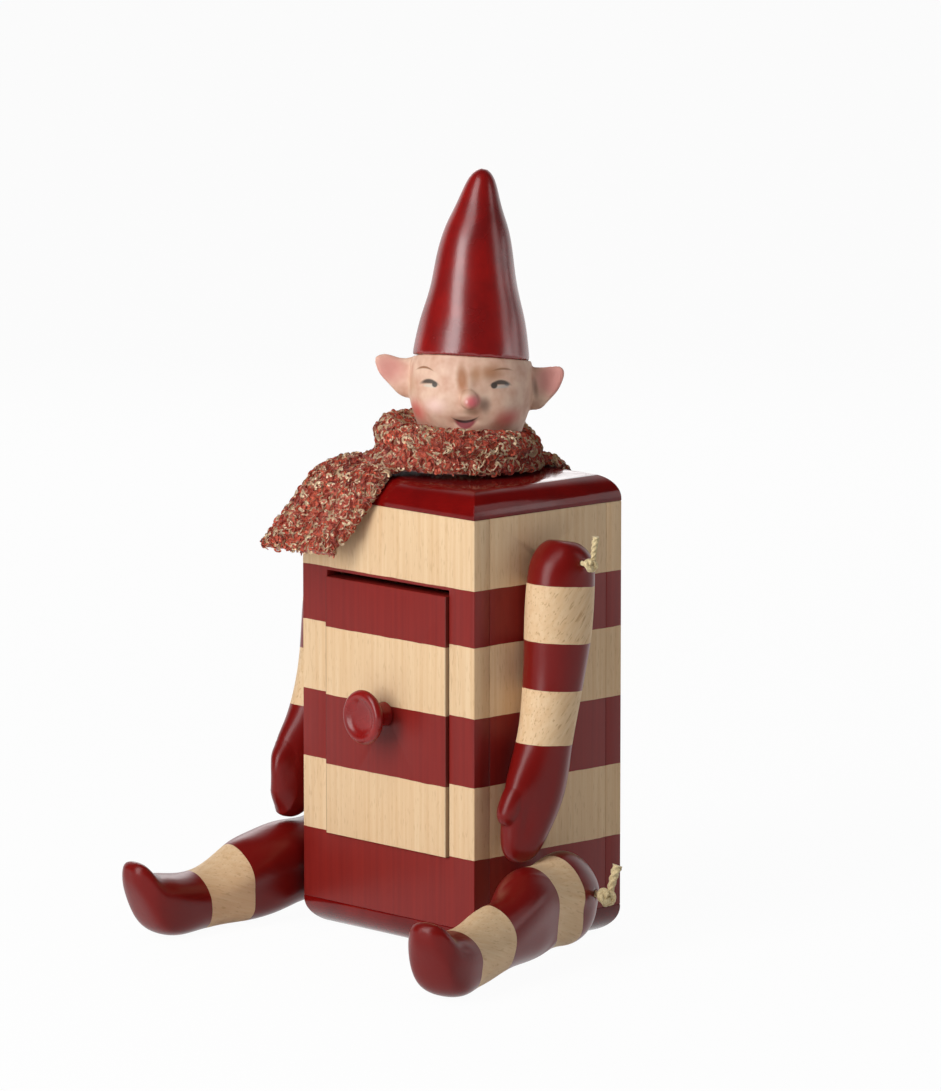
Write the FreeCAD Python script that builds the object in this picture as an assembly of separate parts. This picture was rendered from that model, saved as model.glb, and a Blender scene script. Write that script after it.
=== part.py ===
import FreeCAD, Part
import math
import os

# A seated wooden pixie. Its body is a striped beech box with a drawer in front, its head
# turns on a neck dowel, and its arms and legs swing on two cords that run through the box.
# Millimetres. The origin is the middle of the box's underside, +Z is up, and the drawer
# opens towards -Y. The limbs named right are at +X.

V = FreeCAD.Vector
X_AXIS = V(1, 0, 0)
Y_AXIS = V(0, 1, 0)
Z_AXIS = V(0, 0, 1)

# Box
BOX_W = 100.0
BOX_D = 80.0
BOX_H = 184.5
WALL = 8.5
CAP_T = 10.8
EDGE_R = 10.0
EDGE_LAND = 0.8

# Drawer
DRAWER_W = 70.2
DRAWER_H = 103.7
DRAWER_Z = 38.6
DRAWER_FRONT_T = 9.0
DRAWER_PROUD = 1.3
DRAWER_WALL = 5.0
DRAWER_SIDE_H = 64.0
DRAWER_FLOOR_T = 4.0
DRAWER_SIDE_GAP = 0.5
DRAWER_TOP_GAP = 2.4
DRAWER_BACK_GAP = 2.0
DRAWER_RUN_GAP = 0.3
SHELF_T = 5.0
RUNNER_H = 14.0

# Knob
KNOB_D = 22.0
KNOB_OUT = 14.0
KNOB_HEAD_T = 7.5
KNOB_STEM_D = 9.5
KNOB_RIM = 3.2
KNOB_DISH = 1.6
KNOB_RISE = 1.0

# Screws
SCREW_D = 3.5
SCREW_HEAD_D = 7.0
SCREW_HEAD_T = 2.4
SCREW_BITE = 9.0
SCREW_FIT = 0.05

# Neck
NECK_Y = 5.0
NECK_DOWEL_D = 12.0
NECK_FIT = 0.05
NECK_PLAY = 0.3
NECK_BITE = 16.0
WASHER_D = 22.0
WASHER_T = 1.6

# Head, with heights above the box top
HEAD_YAW = 45.0
HEAD_ROLL = 3.0
NECK_D = 22.0
JAW_D = 42.0
JAW_Z = 17.0
HEAD_D = 50.0
HEAD_Z = 34.0
CROWN_D = 41.0
RIM_Z = 44.5
RIM_TILT = 9.0
NOSE_D = 5.6
NOSE_OUT = 3.2
NOSE_Z = 31.5
EAR_SPAN = 74.0
EAR_H = 16.5
EAR_T = 5.0
EAR_TIP_RISE = 5.5
EAR_ROLL = 5.5
EAR_SINK = 6.0
EAR_GAP = 4.2

# Hat
HAT_D = 46.4
HAT_H = 75.0
HAT_TIP_D = 11.0
HAT_LEAN = 0.6
HAT_BELLY = 1.5

# Arms
ARM_LENGTH = 119.2
ARM_TOP = 7.5
ARM_W = 25.0
ARM_D = 28.0
WRIST_D = 23.0
HAND_LENGTH = 49.0
HAND_D = 27.0
HAND_W = 19.0
FINGER_D = 18.0
HAND_REACH = 1.5
THUMB_D = 9.0
THUMB_LENGTH = 20.0
ARM_BOW = 4.7
ARM_DROP = 28.0
ARM_Y = -6.0
HAND_GAP = 0.8

# Legs
LEG_LENGTH = 117.0
HIP_BACK = 6.5
HIP_Z = 25.0
HIP_Y = -1.0
LEG_W = 24.5
THIGH_H = 36.2
THIGH_Z = 22.1
KNEE_H = 32.0
KNEE_LIFT = 0.8
ANKLE_H = 24.5
ANKLE_W = 22.0
ANKLE_FROM_TOE = 33.0
FOOT_H = 25.0
FOOT_W = 23.5
FOOT_CORNER = 1.1
FOOT_LIFT = 0.4
THIGH_CORNER = 1.06
TOE_H = 34.0
RIGHT_SPLAY = 17.0
LEFT_SPLAY = 1.5

# Cords and the room beside the box
LIMB_GAP = 1.3
ARM_CORD_D = 2.2
LEG_CORD_D = 3.0
CORD_FIT = 0.05
CORD_HOLE_GAP = 0.3
KNOT_GAP = 0.5
KNOT_RATIO = 3.0
ARM_TAIL = 11.0
LEG_TAIL = 12.0
TAIL_OUT = 0.15
ARM_TAIL_BACK = 0.1
LEG_TAIL_BACK = 0.35

# Scarf
SCARF_GAP = 0.5
SCARF_T = 6.4
SCARF_FOLD = 1.6
WRAP_D = 70.0
WRAP_SHIFT = 4.5
WRAP_H = 19.5
WRAP_BORE_D = 30.0
WRAP_LAP = 2.0
WRAP_LIFT = 0.8
WRAP_TILT = 3.5
FRONT_TAIL_W = 43.0
FRONT_TAIL_END_W = 36.0
FRONT_TAIL_X = -24.0
FRONT_TAIL_END_X = -30.0
FRONT_TAIL_HANG = 31.0
FRONT_TAIL_SLOPE = 60.0
FRONT_TAIL_TWIST = 14.0
BACK_TAIL_W = 42.0
BACK_TAIL_END_W = 38.0
BACK_TAIL_X = 0.0
BACK_TAIL_END_X = 1.0
BACK_TAIL_HANG = 26.0
BACK_TAIL_SLOPE = 72.0
BACK_TAIL_TWIST = 8.0

# Places that follow from the sizes above
ROUND_R = min(EDGE_R, CAP_T - EDGE_LAND)
HALF_W = BOX_W / 2
HALF_D = BOX_D / 2
INNER_W = BOX_W - 2 * WALL
INNER_D = BOX_D - 2 * WALL
TOP_UNDER = BOX_H - CAP_T
OPENING_W = DRAWER_W + 2 * DRAWER_SIDE_GAP
SHELF_TOP = DRAWER_Z - DRAWER_RUN_GAP
OPENING_TOP = DRAWER_Z + DRAWER_H + DRAWER_TOP_GAP
DRAWER_FACE_Y = -HALF_D - DRAWER_PROUD
DRAWER_BODY_Y = DRAWER_FACE_Y + DRAWER_FRONT_T
DRAWER_END_Y = HALF_D - WALL - DRAWER_BACK_GAP
KNOB_Z = DRAWER_Z + DRAWER_H / 2 + KNOB_RISE
ARM_X = HALF_W + LIMB_GAP + ARM_W / 2
ARM_Z = BOX_H - ARM_DROP
NECK_AXIS = V(0, NECK_Y, 0)
WRAP_FOOT = BOX_H + SCARF_GAP
WRAP_TOP = WRAP_FOOT + WRAP_H + math.sin(math.radians(WRAP_TILT)) * WRAP_D / 2


def block(x0, x1, y0, y1, z0, z1):
    return Part.makeBox(x1 - x0, y1 - y0, z1 - z0, V(x0, y0, z0))


def rod(diameter, start, end):
    along = end - start
    return Part.makeCylinder(diameter / 2, along.Length, start, along)


def outline(points):
    """A closed face from corner points; a point given as a pair of points is an arc."""
    edges = []
    last = points[0]
    for point in points[1:] + points[:1]:
        if isinstance(point, tuple):
            middle, end = point
            edges.append(Part.Arc(last, middle, end).toShape())
            last = end
        else:
            edges.append(Part.LineSegment(last, point).toShape())
            last = point
    return Part.Face(Part.Wire(edges))


def rounded_profile(half, height, radius, place):
    """A slab's end view, flat below and with both upper corners rounded."""
    diagonal = radius * (1 - math.sqrt(0.5))
    return outline([
        place(-half, 0),
        place(half, 0),
        place(half, height - radius),
        (place(half - diagonal, height - diagonal), place(half - radius, height)),
        place(-half + radius, height),
        (place(-half + diagonal, height - diagonal), place(-half, height - radius)),
    ])


def rounded_slab():
    """Top or bottom board lying with its rounded edge up, its corners mitred."""
    front_view = rounded_profile(HALF_W, CAP_T, ROUND_R, lambda a, z: V(a, -HALF_D, z))
    side_view = rounded_profile(HALF_D, CAP_T, ROUND_R, lambda a, z: V(-HALF_W, a, z))
    along_y = front_view.extrude(V(0, BOX_D, 0))
    along_x = side_view.extrude(V(BOX_W, 0, 0))
    return along_y.common(along_x)


def cord_hole(diameter, y, z):
    across = HALF_W + WALL
    return rod(diameter + 2 * CORD_HOLE_GAP, V(-across, y, z), V(across, y, z))


def build_box():
    parts = {}
    inner_y = INNER_D / 2
    opening = block(-OPENING_W / 2, OPENING_W / 2, -BOX_D, 0, SHELF_TOP, OPENING_TOP)
    front = block(-HALF_W, HALF_W, -HALF_D, -inner_y, CAP_T, TOP_UNDER)
    parts["front_board"] = front.cut(opening)
    parts["back_board"] = block(-HALF_W, HALF_W, inner_y, HALF_D, CAP_T, TOP_UNDER)
    holes = cord_hole(ARM_CORD_D, ARM_Y, ARM_Z).fuse(cord_hole(LEG_CORD_D, HIP_Y, HIP_Z))
    right = block(INNER_W / 2, HALF_W, -inner_y, inner_y, CAP_T, TOP_UNDER)
    left = block(-HALF_W, -INNER_W / 2, -inner_y, inner_y, CAP_T, TOP_UNDER)
    parts["right_side_board"] = right.cut(holes)
    parts["left_side_board"] = left.cut(holes)
    neck_hole = rod(NECK_DOWEL_D + 2 * NECK_FIT, NECK_AXIS, NECK_AXIS + Z_AXIS * BOX_H)
    top = rounded_slab()
    top.translate(Z_AXIS * TOP_UNDER)
    parts["top_board"] = top.cut(neck_hole)
    bottom = rounded_slab()
    bottom.rotate(V(0, 0, 0), X_AXIS, 180)
    bottom.translate(Z_AXIS * CAP_T)
    parts["bottom_board"] = bottom
    shelf_z = SHELF_TOP - SHELF_T
    parts["drawer_shelf"] = block(
        -INNER_W / 2, INNER_W / 2, -inner_y, inner_y, shelf_z, SHELF_TOP
    )
    runner_top = SHELF_TOP + RUNNER_H
    for side, name in ((1, "right_runner"), (-1, "left_runner")):
        edges = sorted((side * OPENING_W / 2, side * INNER_W / 2))
        parts[name] = block(*edges, -inner_y, inner_y, SHELF_TOP, runner_top)
    return parts


def screw(head_face, direction, length):
    """A pan-head screw: head_face is the seat under its head, direction its point."""
    head = rod(SCREW_HEAD_D, head_face - direction * SCREW_HEAD_T, head_face)
    return head.fuse(rod(SCREW_D, head_face, head_face + direction * length))


def screw_hole(start, direction, length):
    return rod(SCREW_D + 2 * SCREW_FIT, start, start + direction * length)


def turned_knob():
    """Knob outline from its axis outwards, as (radius, distance out), spun round Y."""
    stem = KNOB_STEM_D / 2
    edge = KNOB_D / 2
    back = KNOB_OUT - KNOB_HEAD_T
    rim_in = edge - KNOB_RIM
    place = lambda radius, out: V(radius, DRAWER_FACE_Y - out, KNOB_Z)
    floor = KNOB_OUT - KNOB_DISH
    middle = (back + KNOB_OUT) / 2
    profile = outline([
        place(0, 0),
        place(stem, 0),
        (place(stem * 0.86, back / 2), place(stem, back)),
        place(edge * 0.82, back),
        (place(edge, middle), place(edge * 0.9, KNOB_OUT)),
        (place((edge + rim_in) / 2, KNOB_OUT - KNOB_DISH / 3), place(rim_in, floor)),
        place(0, floor),
    ])
    return profile.revolve(V(0, 0, KNOB_Z), Y_AXIS, 360)


def build_drawer():
    parts = {}
    half = DRAWER_W / 2
    inner = half - DRAWER_WALL
    side_top = DRAWER_Z + DRAWER_SIDE_H
    floor_top = DRAWER_Z + DRAWER_FLOOR_T
    inner_end = DRAWER_END_Y - DRAWER_WALL
    seat = V(0, DRAWER_BODY_Y, KNOB_Z)
    bite = DRAWER_FRONT_T + SCREW_BITE
    hole = screw_hole(seat, -Y_AXIS, bite + SCREW_FIT)
    front_top = DRAWER_Z + DRAWER_H
    front = block(-half, half, DRAWER_FACE_Y, DRAWER_BODY_Y, DRAWER_Z, front_top)
    parts["drawer_front"] = front.cut(hole)
    parts["drawer_knob"] = turned_knob().cut(hole)
    parts["knob_screw"] = screw(seat, -Y_AXIS, bite)
    for side, name in ((1, "drawer_right_side"), (-1, "drawer_left_side")):
        edges = sorted((side * inner, side * half))
        parts[name] = block(*edges, DRAWER_BODY_Y, DRAWER_END_Y, DRAWER_Z, side_top)
    parts["drawer_back"] = block(-inner, inner, inner_end, DRAWER_END_Y, DRAWER_Z, side_top)
    parts["drawer_bottom"] = block(
        -inner, inner, DRAWER_BODY_Y, inner_end, DRAWER_Z, floor_top
    )
    return parts


def smooth_edge(points):
    curve = Part.BSplineCurve()
    curve.interpolate(points)
    return curve.toShape()


def head_solid(extra):
    """The turned head, spun about the neck, with extra added to each radius."""
    base = BOX_H + NECK_PLAY
    rings = [
        (NECK_D / 2, 0.0),
        (NECK_D / 2 + (JAW_D - NECK_D) / 4, JAW_Z * 0.32),
        (JAW_D / 2, JAW_Z),
        (HEAD_D / 2, HEAD_Z),
        (CROWN_D / 2, RIM_Z + HEAD_D / 8),
        (CROWN_D / 4, RIM_Z + HEAD_D / 3),
    ]
    curve = [V(radius + extra, NECK_Y, base + height) for radius, height in rings]
    foot = V(0, NECK_Y, curve[0].z)
    crown = V(0, NECK_Y, curve[-1].z)
    edges = [
        Part.LineSegment(foot, curve[0]).toShape(),
        smooth_edge(curve),
        Part.LineSegment(curve[-1], crown).toShape(),
        Part.LineSegment(crown, foot).toShape(),
    ]
    return Part.Face(Part.Wire(edges)).revolve(NECK_AXIS, Z_AXIS, 360)


def ring_wire(centre, across, upward, half_across, half_up, corner=1.0):
    """A closed smooth oval through eight points; corner over 1 makes it squarer."""
    points = []
    for step in range(8):
        angle = step * math.pi / 4
        swell = corner if step % 2 else 1.0
        side = across * (half_across * swell * math.cos(angle))
        points.append(centre + side + upward * (half_up * swell * math.sin(angle)))
    curve = Part.BSplineCurve()
    curve.interpolate(points, True)
    return Part.Wire(curve.toShape())


def oval_loft(sections):
    return Part.makeLoft([ring_wire(*section) for section in sections], True)


def rim_plane(shape):
    """Tips a shape made level with the hat's rim, and turns it with the face."""
    pivot = NECK_AXIS + Z_AXIS * (BOX_H + RIM_Z)
    shape.rotate(pivot, X_AXIS, -RIM_TILT)
    shape.rotate(pivot, Y_AXIS, HEAD_ROLL)
    shape.rotate(NECK_AXIS, Z_AXIS, HEAD_YAW)
    return shape


def ear(side):
    """One leaf-shaped ear that grows out of the head and points up and outwards."""
    reach = EAR_SPAN / 2
    root = HEAD_D / 2 - EAR_SINK
    low = WRAP_TOP + EAR_GAP
    stations = [
        (0.0, 0.46, 0.50, 0.0),
        (0.45, 0.50, 0.46, 0.12),
        (0.75, 0.36, 0.36, 0.50),
        (0.93, 0.17, 0.24, 0.86),
        (1.0, 0.05, 0.12, 1.0),
    ]
    sections = []
    for along, half_h, half_t, rise in stations:
        x = side * (root + (reach - root) * along)
        z = low + EAR_H / 2 + EAR_TIP_RISE * rise
        centre = V(x, NECK_Y, z)
        sections.append((centre, Y_AXIS, Z_AXIS, EAR_T * half_t, EAR_H * half_h))
    leaf = oval_loft(sections)
    leaf.rotate(V(0, NECK_Y, BOX_H + HEAD_Z), Y_AXIS, EAR_ROLL)
    return leaf


def build_head():
    parts = {}
    rim_z = BOX_H + RIM_Z
    pivot = NECK_AXIS + Z_AXIS * rim_z
    above_rim = rim_plane(Part.makeCylinder(HEAD_D, HAT_H, pivot))
    nose = Part.makeSphere(NOSE_D / 2)
    nose.translate(V(0, NECK_Y - HEAD_D / 2 - NOSE_OUT + NOSE_D / 2, BOX_H + NOSE_Z))
    features = nose.fuse([ear(1), ear(-1)])
    features.rotate(NECK_AXIS, Z_AXIS, HEAD_YAW)
    dowel_foot = NECK_AXIS + Z_AXIS * (TOP_UNDER - NECK_PLAY)
    dowel_top = NECK_AXIS + Z_AXIS * (BOX_H + NECK_PLAY + NECK_BITE)
    dowel = rod(NECK_DOWEL_D, dowel_foot, dowel_top)
    head = head_solid(0.0).cut(above_rim).fuse(features).cut(dowel)
    parts["head"] = head.removeSplitter()
    hat_rows = [
        (0.0, HAT_D / 2, 0.0),
        (0.2, HAT_D / 2 * 0.86 + HAT_BELLY * 0.4, 0.25),
        (0.44, HAT_D / 2 * 0.62 + HAT_BELLY, 0.65),
        (0.7, HAT_D / 2 * 0.38 + HAT_BELLY, 0.95),
        (0.88, HAT_TIP_D / 2 * 1.16, 1.0),
        (0.97, HAT_TIP_D / 2 * 0.7, 0.98),
        (1.0, HAT_TIP_D / 2 * 0.25, 0.96),
    ]
    rings = []
    for rise, radius, lean in hat_rows:
        centre = pivot + Z_AXIS * (HAT_H * rise) + X_AXIS * (HAT_LEAN * lean)
        rings.append((centre, X_AXIS, Y_AXIS, radius, radius))
    parts["hat"] = rim_plane(oval_loft(rings))
    washer_foot = dowel_foot - Z_AXIS * WASHER_T
    bite = WASHER_T + SCREW_BITE
    hole = screw_hole(washer_foot, Z_AXIS, bite + SCREW_FIT)
    parts["neck_dowel"] = dowel.cut(hole)
    parts["neck_washer"] = rod(WASHER_D, washer_foot, dowel_foot).cut(hole)
    parts["neck_screw"] = screw(washer_foot, Z_AXIS, bite)
    return parts


def leg_x(splay):
    """How far out the hip's centre sits so that the splayed leg clears the box."""
    lean = math.radians(splay)
    return HALF_W + LIMB_GAP + LEG_W / 2 / math.cos(lean) + HIP_BACK / 2 * math.sin(lean)


def arm_swing(splay):
    """Angle at which the hanging hand comes to rest on the thigh, in degrees."""
    lean = math.radians(splay)
    forward = HIP_Y - ARM_Y + ARM_D / 2
    ridge_x = leg_x(splay) + forward * math.tan(lean)
    off_ridge = (ridge_x - ARM_X - HAND_W / 10) / (LEG_W / 2 / math.cos(lean))
    rest_z = THIGH_Z + THIGH_H / 2 * math.sqrt(max(0.0, 1 - off_ridge ** 2))
    drop = ARM_Z - rest_z - HAND_GAP
    return -math.degrees(math.acos(min(1.0, drop / ARM_LENGTH)))


def arm(side, splay):
    """An arm hanging from its cord, its hand a mitten with the thumb in front."""
    wrist = ARM_LENGTH - HAND_LENGTH
    rows = [
        (-ARM_TOP, ARM_W * 0.16, ARM_D * 0.16),
        (-ARM_TOP * 0.86, ARM_W * 0.30, ARM_D * 0.30),
        (-ARM_TOP * 0.35, ARM_W * 0.435, ARM_D * 0.435),
        (ARM_TOP * 0.9, ARM_W * 0.5, ARM_D * 0.5),
        (wrist * 0.5, ARM_W * 0.49, ARM_D * 0.48),
        (wrist, WRIST_D * 0.46, WRIST_D * 0.5),
        (wrist + HAND_LENGTH * 0.4, HAND_W * 0.5, HAND_D * 0.5),
        (wrist + HAND_LENGTH * 0.75, HAND_W * 0.43, FINGER_D * 0.58),
        (wrist + HAND_LENGTH * 0.95, HAND_W * 0.27, FINGER_D * 0.36),
        (ARM_LENGTH, HAND_W * 0.08, FINGER_D * 0.1),
    ]
    sections = []
    for along, half_w, half_d in rows:
        bow = ARM_BOW * math.sin(math.pi * along / ARM_LENGTH)
        reach = HAND_REACH * max(0.0, (along - wrist) / HAND_LENGTH) ** 2
        centre = V(side * ARM_X, ARM_Y + bow - reach, ARM_Z - along)
        sections.append((centre, X_AXIS, Y_AXIS, half_w, half_d))
    palm_z = ARM_Z - wrist - HAND_LENGTH * 0.3
    thumb_rows = [
        (0.0, 0.34, 0.15),
        (0.3, 0.52, 0.45),
        (0.7, 0.5, 0.64),
        (0.93, 0.3, 0.7),
        (1.0, 0.1, 0.71),
    ]
    thumb = []
    for along, half, forward in thumb_rows:
        y = ARM_Y - HAND_D / 2 * forward
        centre = V(side * ARM_X, y, palm_z - THUMB_LENGTH * along)
        thumb.append((centre, X_AXIS, Y_AXIS, THUMB_D * half, THUMB_D * half))
    solid = oval_loft(sections).fuse(oval_loft(thumb))
    solid.rotate(V(0, ARM_Y, ARM_Z), X_AXIS, arm_swing(splay))
    bore = ARM_CORD_D + 2 * CORD_FIT
    far = side * (ARM_X + ARM_W)
    return solid.cut(rod(bore, V(0, ARM_Y, ARM_Z), V(far, ARM_Y, ARM_Z)))


def leg(side, splay):
    """A leg lying on the floor with its toe turned up, drawn from hip to toe."""
    hip_x = side * leg_x(splay)
    toe = ANKLE_FROM_TOE
    ankle = LEG_LENGTH - toe
    foot_mid = ankle + toe * 0.42
    thigh = THIGH_H / 2
    knee_z = KNEE_H / 2 + KNEE_LIFT
    foot = FOOT_H / 2
    sole = foot + FOOT_LIFT
    rows = [
        (-HIP_BACK, LEG_W * 0.2, thigh * 0.42, THIGH_Z, 1.0),
        (-HIP_BACK * 0.75, LEG_W * 0.36, thigh * 0.7, THIGH_Z, 1.0),
        (0.0, LEG_W * 0.47, thigh * 0.9, THIGH_Z, 1.0),
        (HIP_BACK * 2, LEG_W * 0.5, thigh * 0.98, THIGH_Z, THIGH_CORNER),
        (ankle * 0.42, LEG_W * 0.5, thigh, THIGH_Z, THIGH_CORNER),
        (ankle * 0.78, LEG_W * 0.48, KNEE_H / 2, knee_z, 1.0),
        (ankle, ANKLE_W * 0.5, ANKLE_H / 2, ANKLE_H / 2 + FOOT_LIFT, 1.0),
        (foot_mid, FOOT_W * 0.5, foot, sole, FOOT_CORNER),
        (LEG_LENGTH - toe * 0.32, FOOT_W * 0.47, foot * 0.94, sole * 1.22, FOOT_CORNER),
        (LEG_LENGTH - toe * 0.14, FOOT_W * 0.38, foot * 0.7, TOE_H - foot * 0.86, FOOT_CORNER),
        (LEG_LENGTH - toe * 0.04, FOOT_W * 0.24, foot * 0.4, TOE_H - foot * 0.58, FOOT_CORNER),
        (LEG_LENGTH, FOOT_W * 0.09, foot * 0.14, TOE_H - foot * 0.48, 1.0),
    ]
    sections = []
    for along, half_w, half_h, z, corner in rows:
        centre = V(hip_x, HIP_Y - along, z)
        sections.append((centre, X_AXIS, Z_AXIS, half_w, half_h, corner))
    solid = oval_loft(sections)
    solid.rotate(V(hip_x, HIP_Y, 0), Z_AXIS, side * splay)
    bore = LEG_CORD_D + 2 * CORD_FIT
    return solid.cut(rod(bore, V(0, HIP_Y, HIP_Z), V(2 * hip_x, HIP_Y, HIP_Z)))


def build_limbs():
    return {
        "arm_right": arm(1, RIGHT_SPLAY),
        "arm_left": arm(-1, LEFT_SPLAY),
        "leg_right": leg(1, RIGHT_SPLAY),
        "leg_left": leg(-1, LEFT_SPLAY),
    }


def knotted_cord(diameter, y, z, reaches, tail, back):
    """A cord through the box with a knot outside each limb and a short upright tail."""
    knot = diameter * KNOT_RATIO
    ends = []
    pieces = []
    for side, reach in zip((-1, 1), reaches):
        centre = V(side * (reach + KNOT_GAP + knot / 2), y, z)
        ball = Part.makeSphere(knot / 2, centre, Y_AXIS)
        end = centre + V(side * tail * TAIL_OUT, tail * back, tail)
        pieces.extend([ball, rod(diameter, centre, end)])
        ends.append(centre)
    return rod(diameter, *ends).fuse(pieces).removeSplitter()


def build_cords():
    arm_reach = ARM_X + ARM_W / 2
    arm_reaches = (arm_reach, arm_reach)
    leg_reaches = []
    for splay in (LEFT_SPLAY, RIGHT_SPLAY):
        lean = math.radians(splay)
        flank = LEG_W / 2 / math.cos(lean)
        knot_lean = LEG_CORD_D * KNOT_RATIO / 2 * math.tan(lean)
        leg_reaches.append(leg_x(splay) + flank + knot_lean)
    arm_cord = knotted_cord(ARM_CORD_D, ARM_Y, ARM_Z, arm_reaches, ARM_TAIL, ARM_TAIL_BACK)
    leg_cord = knotted_cord(LEG_CORD_D, HIP_Y, HIP_Z, leg_reaches, LEG_TAIL, LEG_TAIL_BACK)
    return {"arm_cord": arm_cord, "leg_cord": leg_cord}


def wrap_solid():
    """Two turns round the neck, one lying on the other, with a crease between them."""
    outer = WRAP_D / 2
    inner = WRAP_BORE_D / 2
    place = lambda radius, height: V(radius, NECK_Y, WRAP_FOOT + height)
    crease = WRAP_H * 0.46
    thick = outer - inner
    profile = outline([
        place(inner, 0),
        place(outer - thick * 0.2, 0),
        (place(outer - thick * 0.03, crease * 0.5), place(outer - thick * 0.15, crease)),
        (place(outer, crease + WRAP_H * 0.2), place(outer - thick * 0.12, WRAP_H * 0.88)),
        (place(outer - thick * 0.22, WRAP_H), place(outer - thick * 0.4, WRAP_H * 0.97)),
        place(inner, WRAP_H * 0.8),
    ])
    wrap = profile.revolve(NECK_AXIS, Z_AXIS, 360)
    yaw = math.radians(HEAD_YAW)
    face_way = V(math.sin(yaw), -math.cos(yaw), 0)
    cheek_way = V(-math.cos(yaw), -math.sin(yaw), 0)
    wrap.rotate(NECK_AXIS + Z_AXIS * WRAP_FOOT, face_way, -WRAP_TILT)
    wrap.translate(cheek_way * WRAP_SHIFT)
    return wrap


def tail_section(foot, across, outward, half, thick):
    """A strip's cross-section: flat inside, with two soft folds outside."""
    at = lambda a, b: foot + across * (half * a) + outward * (thick * b)
    low = 1.0 - SCARF_FOLD / thick
    edges = [
        Part.LineSegment(at(-0.92, 0), at(0.92, 0)),
        Part.Arc(at(0.92, 0), at(1.0, low * 0.4), at(0.9, low * 0.82)),
        Part.Arc(at(0.9, low * 0.82), at(0.55, 1.0), at(0.22, low)),
        Part.Arc(at(0.22, low), at(0.02, low * 0.94), at(-0.18, low)),
        Part.Arc(at(-0.18, low), at(-0.55, 1.0), at(-0.9, low * 0.82)),
        Part.Arc(at(-0.9, low * 0.82), at(-1.0, low * 0.4), at(-0.92, 0)),
    ]
    return Part.Wire([edge.toShape() for edge in edges])


def scarf_tail(face, widths, centres, hang, slope, twist):
    """One end of the scarf: from under the wrap, over the box's rounded edge, and down."""
    radius = ROUND_R + SCARF_GAP
    edge_y = HALF_D - ROUND_R
    edge_z = BOX_H - ROUND_R
    start_w, end_w = widths
    start_x, end_x = centres
    root = abs(NECK_Y - face * edge_y) - WRAP_BORE_D / 2 - WRAP_SHIFT - WRAP_LAP
    lean = math.radians(slope)
    stations = []
    for share in (1.0, 0.66, 0.33, 0.0):
        stations.append((-root * share, 0.0, 0.0, start_w * (1 - 0.28 * share)))
    for share in (0.5, 1.0):
        stations.append((0.0, lean * share, 0.0, start_w))
    for share in (0.25, 0.5, 0.75, 1.0):
        width = start_w + (end_w - start_w) * share
        stations.append((0.0, lean, hang * share, width))
    wires = []
    for back, turn, down, width in stations:
        share = down / hang
        along_y = back + radius * math.sin(turn) + down * math.cos(turn)
        z = edge_z + radius * math.cos(turn) - down * math.sin(turn)
        x = start_x + (end_x - start_x) * share
        if back < 0:
            x = start_x * (1 + 0.35 * back / root)
        foot = V(x, face * (edge_y + along_y), z)
        yaw = math.radians(twist * share)
        across = V(math.cos(yaw), math.sin(yaw), 0)
        outward = V(0, face * math.sin(turn), math.cos(turn))
        wires.append(tail_section(foot, across, outward, width / 2, SCARF_T))
    return Part.makeLoft(wires, True)


def build_scarf():
    front = scarf_tail(
        -1,
        (FRONT_TAIL_W, FRONT_TAIL_END_W),
        (FRONT_TAIL_X, FRONT_TAIL_END_X),
        FRONT_TAIL_HANG,
        FRONT_TAIL_SLOPE,
        FRONT_TAIL_TWIST,
    )
    back = scarf_tail(
        1,
        (BACK_TAIL_W, BACK_TAIL_END_W),
        (BACK_TAIL_X, BACK_TAIL_END_X),
        BACK_TAIL_HANG,
        BACK_TAIL_SLOPE,
        BACK_TAIL_TWIST,
    )
    under = block(-HALF_W, HALF_W, -HALF_D, HALF_D, 0, WRAP_FOOT + WRAP_LIFT)
    wrap = wrap_solid().cut(under)
    scarf = wrap.fuse([front, back]).cut(head_solid(SCARF_GAP))
    return {"scarf": scarf.removeSplitter()}


def main():
    os.makedirs("parts", exist_ok=True)
    parts = {}
    for build in (build_box, build_drawer, build_head, build_limbs, build_cords, build_scarf):
        parts.update(build())
    for name, shape in parts.items():
        solids = shape.Solids
        print(name, len(solids), shape.isValid(), round(shape.Volume / 1000, 2), "cm3")
        if len(solids) == 1:
            shape = solids[0]
        shape.exportStep(f"parts/{name}.step")


main()
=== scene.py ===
# %% [markdown]
# # A seated pixie whose body is a box with a drawer
# The real toy is turned and sawn from beech. The body is a striped box with a drawer, the
# head turns on a dowel, and arms and legs swing on knotted cords. The frame below brings in
# the sizes and the moving bodies, and every piece here is dressed around it. Starting from
# the frame means that nothing has to be measured or fitted twice.

# %% Load the frame
import math
import random
import bmesh
import bpy
from mathutils import Euler, Matrix, Vector, noise


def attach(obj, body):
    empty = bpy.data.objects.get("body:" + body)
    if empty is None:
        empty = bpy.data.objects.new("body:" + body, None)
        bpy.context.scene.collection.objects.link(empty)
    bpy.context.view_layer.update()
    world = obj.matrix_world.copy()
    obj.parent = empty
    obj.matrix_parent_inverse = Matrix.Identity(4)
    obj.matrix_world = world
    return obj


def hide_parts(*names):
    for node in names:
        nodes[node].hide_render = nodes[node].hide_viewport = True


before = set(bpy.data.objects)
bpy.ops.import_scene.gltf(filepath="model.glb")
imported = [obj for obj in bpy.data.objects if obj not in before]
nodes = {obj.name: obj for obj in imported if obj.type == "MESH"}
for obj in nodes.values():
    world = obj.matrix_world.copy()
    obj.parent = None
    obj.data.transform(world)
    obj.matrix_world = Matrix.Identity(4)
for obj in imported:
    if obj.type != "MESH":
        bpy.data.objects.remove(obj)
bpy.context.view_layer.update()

MM = 0.001

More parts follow.
